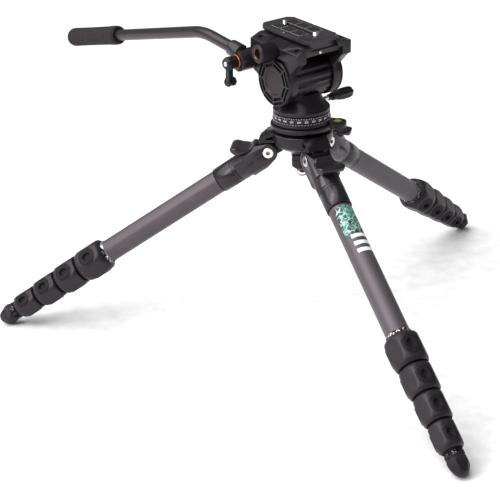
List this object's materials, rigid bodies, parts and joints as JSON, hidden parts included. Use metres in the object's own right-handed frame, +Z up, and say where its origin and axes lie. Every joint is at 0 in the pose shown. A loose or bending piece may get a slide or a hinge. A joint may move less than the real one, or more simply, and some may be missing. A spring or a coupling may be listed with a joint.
{
  "type": "video tripod with fluid head",
  "caption": "Low-standing video tripod with twist-lock telescopic legs, levelling base and a fluid pan-and-tilt head that has a pan handle and an empty quick-release plate.",
  "frame": {"origin": "on the ground, under the middle of the overall box; the pan axis stands a few millimetres from it", "axes": "+Z up; the front leg points along -Y and the left and right legs lie 120 degrees from it on -X and +X; the lens looks roughly along -Y and the pan handle runs back along +Y"},
  "size_m": [0.788, 0.9126, 0.4547],
  "materials": {
    "anodised": "satin black anodised",
    "carbon": "matte carbon fibre",
    "lock_rubber": "charcoal ribbed rubber",
    "foot_rubber": "matte rubber",
    "steel": "bright steel",
    "dial": "black with white graduations",
    "vial": "green spirit level",
    "knob_plastic": "satin black",
    "handle_metal": "dark grey anodised",
    "foam": "textured foam"
  },
  "bodies": {
    "crown": {"crown": "anodised", "pivot_bolt_left": "steel", "pivot_bolt_front": "steel", "pivot_bolt_right": "steel"},
    "leg_left": {"leg_collar_left": "anodised", "tube_1_left": "carbon"},
    "angle_tab_left": {"angle_tab_left": "anodised"},
    "twist_lock_1_left": {"twist_lock_1_left": "lock_rubber"},
    "section_2_left": {"tube_2_left": "carbon"},
    "twist_lock_2_left": {"twist_lock_2_left": "lock_rubber"},
    "section_3_left": {"tube_3_left": "carbon"},
    "twist_lock_3_left": {"twist_lock_3_left": "lock_rubber"},
    "section_4_left": {"tube_4_left": "carbon"},
    "twist_lock_4_left": {"twist_lock_4_left": "lock_rubber"},
    "section_5_left": {"tube_5_left": "carbon", "foot_left": "foot_rubber"},
    "leg_front": {"leg_collar_front": "anodised", "tube_1_front": "carbon"},
    "angle_tab_front": {"angle_tab_front": "anodised"},
    "twist_lock_1_front": {"twist_lock_1_front": "lock_rubber"},
    "section_2_front": {"tube_2_front": "carbon"},
    "twist_lock_2_front": {"twist_lock_2_front": "lock_rubber"},
    "section_3_front": {"tube_3_front": "carbon"},
    "twist_lock_3_front": {"twist_lock_3_front": "lock_rubber"},
    "section_4_front": {"tube_4_front": "carbon"},
    "twist_lock_4_front": {"twist_lock_4_front": "lock_rubber"},
    "section_5_front": {"tube_5_front": "carbon", "foot_front": "foot_rubber"},
    "leg_right": {"leg_collar_right": "anodised", "tube_1_right": "carbon"},
    "angle_tab_right": {"angle_tab_right": "anodised"},
    "twist_lock_1_right": {"twist_lock_1_right": "lock_rubber"},
    "section_2_right": {"tube_2_right": "carbon"},
    "twist_lock_2_right": {"twist_lock_2_right": "lock_rubber"},
    "section_3_right": {"tube_3_right": "carbon"},
    "twist_lock_3_right": {"twist_lock_3_right": "lock_rubber"},
    "section_4_right": {"tube_4_right": "carbon"},
    "twist_lock_4_right": {"twist_lock_4_right": "lock_rubber"},
    "section_5_right": {"tube_5_right": "carbon", "foot_right": "foot_rubber"},
    "level": {"level_platform": "anodised", "bubble_vial": "vial", "pan_base": "anodised", "scale_ring": "dial"},
    "level_knob": {"level_knob": "knob_plastic"},
    "hook_bail": {"hook_bail": "steel"},
    "pan": {"fluid_drum": "anodised"},
    "pan_lock_knob": {"pan_lock_knob": "knob_plastic"},
    "tilt": {"tilt_yoke": "anodised", "side_cover_right": "knob_plastic", "side_cover_left": "knob_plastic"},
    "clamp_jaw": {"clamp_jaw": "anodised"},
    "plate_lock_knob": {"plate_lock_knob": "knob_plastic"},
    "plate": {"camera_plate": "anodised"},
    "camera_screw_rear": {"camera_screw_rear": "steel"},
    "camera_screw_front": {"camera_screw_front": "steel"},
    "handle": {"handle_clamp": "anodised", "handle_tube": "handle_metal", "handle_grip": "foam"},
    "handle_clamp_lever": {"handle_clamp_lever": "knob_plastic"}
  },
  "joints": [
    {"name": "leg_spread_left", "type": "hinge", "parent": "crown", "child": "leg_left", "pos_m": [-0.0394, 0.01873, 0.27835], "axis": [0.5, 0.866, 0], "range_deg": [-56, 0]},
    {"name": "angle_tab_pull_left", "type": "slide", "parent": "leg_left", "child": "angle_tab_left", "axis": [-0.483, 0.2789, 0.83], "range_m": [0, 0.006], "stiffness_N_per_m": 500},
    {"name": "twist_lock_1_left_turn", "type": "hinge", "parent": "leg_left", "child": "twist_lock_1_left", "pos_m": [-0.25505, 0.14323, 0.11103], "axis": [-0.7188, 0.415, -0.5577], "range_deg": [0, 90]},
    {"name": "section_2_left_slide", "type": "slide", "parent": "leg_left", "child": "section_2_left", "axis": [-0.7188, 0.415, -0.5577], "range_m": [0, 0.25]},
    {"name": "twist_lock_2_left_turn", "type": "hinge", "parent": "section_2_left", "child": "twist_lock_2_left", "pos_m": [-0.25505, 0.14323, 0.11103], "axis": [-0.7188, 0.415, -0.5577], "range_deg": [0, 90]},
    {"name": "section_3_left_slide", "type": "slide", "parent": "section_2_left", "child": "section_3_left", "axis": [-0.7188, 0.415, -0.5577], "range_m": [0, 0.25]},
    {"name": "twist_lock_3_left_turn", "type": "hinge", "parent": "section_3_left", "child": "twist_lock_3_left", "pos_m": [-0.25505, 0.14323, 0.11103], "axis": [-0.7188, 0.415, -0.5577], "range_deg": [0, 90]},
    {"name": "section_4_left_slide", "type": "slide", "parent": "section_3_left", "child": "section_4_left", "axis": [-0.7188, 0.415, -0.5577], "range_m": [0, 0.25]},
    {"name": "twist_lock_4_left_turn", "type": "hinge", "parent": "section_4_left", "child": "twist_lock_4_left", "pos_m": [-0.25505, 0.14323, 0.11103], "axis": [-0.7188, 0.415, -0.5577], "range_deg": [0, 90]},
    {"name": "section_5_left_slide", "type": "slide", "parent": "section_4_left", "child": "section_5_left", "axis": [-0.7188, 0.415, -0.5577], "range_m": [0, 0.25]},
    {"name": "leg_spread_front", "type": "hinge", "parent": "crown", "child": "leg_front", "pos_m": [0, -0.04952, 0.27835], "axis": [-1, 0, 0], "range_deg": [-56, 0]},
    {"name": "angle_tab_pull_front", "type": "slide", "parent": "leg_front", "child": "angle_tab_front", "axis": [0, -0.5577, 0.83], "range_m": [0, 0.006], "stiffness_N_per_m": 500},
    {"name": "twist_lock_1_front_turn", "type": "hinge", "parent": "leg_front", "child": "twist_lock_1_front", "pos_m": [0, -0.29852, 0.11103], "axis": [0, -0.83, -0.5577], "range_deg": [0, 90]},
    {"name": "section_2_front_slide", "type": "slide", "parent": "leg_front", "child": "section_2_front", "axis": [0, -0.83, -0.5577], "range_m": [0, 0.25]},
    {"name": "twist_lock_2_front_turn", "type": "hinge", "parent": "section_2_front", "child": "twist_lock_2_front", "pos_m": [0, -0.29852, 0.11103], "axis": [0, -0.83, -0.5577], "range_deg": [0, 90]},
    {"name": "section_3_front_slide", "type": "slide", "parent": "section_2_front", "child": "section_3_front", "axis": [0, -0.83, -0.5577], "range_m": [0, 0.25]},
    {"name": "twist_lock_3_front_turn", "type": "hinge", "parent": "section_3_front", "child": "twist_lock_3_front", "pos_m": [0, -0.29852, 0.11103], "axis": [0, -0.83, -0.5577], "range_deg": [0, 90]},
    {"name": "section_4_front_slide", "type": "slide", "parent": "section_3_front", "child": "section_4_front", "axis": [0, -0.83, -0.5577], "range_m": [0, 0.25]},
    {"name": "twist_lock_4_front_turn", "type": "hinge", "parent": "section_4_front", "child": "twist_lock_4_front", "pos_m": [0, -0.29852, 0.11103], "axis": [0, -0.83, -0.5577], "range_deg": [0, 90]},
    {"name": "section_5_front_slide", "type": "slide", "parent": "section_4_front", "child": "section_5_front", "axis": [0, -0.83, -0.5577], "range_m": [0, 0.25]},
    {"name": "leg_spread_right", "type": "hinge", "parent": "crown", "child": "leg_right", "pos_m": [0.0394, 0.01873, 0.27835], "axis": [0.5, -0.866, 0], "range_deg": [-56, 0]},
    {"name": "angle_tab_pull_right", "type": "slide", "parent": "leg_right", "child": "angle_tab_right", "axis": [0.483, 0.2789, 0.83], "range_m": [0, 0.006], "stiffness_N_per_m": 500},
    {"name": "twist_lock_1_right_turn", "type": "hinge", "parent": "leg_right", "child": "twist_lock_1_right", "pos_m": [0.25505, 0.14323, 0.11103], "axis": [0.7188, 0.415, -0.5577], "range_deg": [0, 90]},
    {"name": "section_2_right_slide", "type": "slide", "parent": "leg_right", "child": "section_2_right", "axis": [0.7188, 0.415, -0.5577], "range_m": [0, 0.25]},
    {"name": "twist_lock_2_right_turn", "type": "hinge", "parent": "section_2_right", "child": "twist_lock_2_right", "pos_m": [0.25505, 0.14323, 0.11103], "axis": [0.7188, 0.415, -0.5577], "range_deg": [0, 90]},
    {"name": "section_3_right_slide", "type": "slide", "parent": "section_2_right", "child": "section_3_right", "axis": [0.7188, 0.415, -0.5577], "range_m": [0, 0.25]},
    {"name": "twist_lock_3_right_turn", "type": "hinge", "parent": "section_3_right", "child": "twist_lock_3_right", "pos_m": [0.25505, 0.14323, 0.11103], "axis": [0.7188, 0.415, -0.5577], "range_deg": [0, 90]},
    {"name": "section_4_right_slide", "type": "slide", "parent": "section_3_right", "child": "section_4_right", "axis": [0.7188, 0.415, -0.5577], "range_m": [0, 0.25]},
    {"name": "twist_lock_4_right_turn", "type": "hinge", "parent": "section_4_right", "child": "twist_lock_4_right", "pos_m": [0.25505, 0.14323, 0.11103], "axis": [0.7188, 0.415, -0.5577], "range_deg": [0, 90]},
    {"name": "section_5_right_slide", "type": "slide", "parent": "section_4_right", "child": "section_5_right", "axis": [0.7188, 0.415, -0.5577], "range_m": [0, 0.25]},
    {"name": "level_tilt", "type": "hinge", "parent": "crown", "child": "level", "pos_m": [0, -0.00402, 0.31185], "axis": [1, 0, 0], "range_deg": [-5, 5]},
    {"name": "level_knob_turn", "type": "hinge", "parent": "level", "child": "level_knob", "pos_m": [0, -0.00402, 0.26835], "axis": [0, 0, 1], "range_deg": [-180, 180]},
    {"name": "hook_bail_swing", "type": "hinge", "parent": "level_knob", "child": "hook_bail", "pos_m": [0, -0.00402, 0.24895], "axis": [1, 0, 0], "range_deg": [-70, 70]},
    {"name": "pan", "type": "hinge", "parent": "level", "child": "pan", "pos_m": [0, -0.00402, 0.33835], "axis": [0, 0, 1], "continuous": true},
    {"name": "pan_lock_turn", "type": "hinge", "parent": "pan", "child": "pan_lock_knob", "pos_m": [0.05866, 0.00876, 0.3429], "axis": [-0.9694, -0.2453, 0], "range_deg": [0, 180]},
    {"name": "tilt", "type": "hinge", "parent": "pan", "child": "tilt", "pos_m": [0, -0.00402, 0.38485], "axis": [-0.9694, -0.2453, 0], "range_deg": [-65, 60]},
    {"name": "clamp_jaw_slide", "type": "slide", "parent": "tilt", "child": "clamp_jaw", "axis": [-0.9694, -0.2453, 0], "range_m": [0, 0.00187]},
    {"name": "plate_lock_turn", "type": "hinge", "parent": "clamp_jaw", "child": "plate_lock_knob", "pos_m": [-0.0577, -0.02057, 0.42981], "axis": [-0.9694, -0.2453, 0], "range_deg": [0, 540]},
    {"name": "plate_slide", "type": "slide", "parent": "tilt", "child": "plate", "axis": [0.2451, -0.9686, -0.0419], "range_m": [-0.03, 0.03]},
    {"name": "camera_screw_rear_turn", "type": "hinge", "parent": "plate", "child": "camera_screw_rear", "pos_m": [-0.00784, 0.02696, 0.44625], "axis": [0.0103, -0.0406, 0.9991], "continuous": true},
    {"name": "camera_screw_front_turn", "type": "hinge", "parent": "plate", "child": "camera_screw_front", "pos_m": [0.00821, -0.03648, 0.4435], "axis": [0.0103, -0.0406, 0.9991], "continuous": true},
    {"name": "handle_angle", "type": "hinge", "parent": "tilt", "child": "handle", "pos_m": [-0.07033, 0.02934, 0.40745], "axis": [0.9694, 0.2453, 0], "range_deg": [-60, 60]},
    {"name": "handle_clamp_lever_turn", "type": "hinge", "parent": "handle", "child": "handle_clamp_lever", "pos_m": [-0.08972, 0.02444, 0.40745], "axis": [-0.9694, -0.2453, 0], "range_deg": [-150, 150]}
  ],
  "couplings": [
    {"joint": "plate_lock_turn", "follows": "clamp_jaw_slide", "rad_per_m": 5026.6}
  ]
}
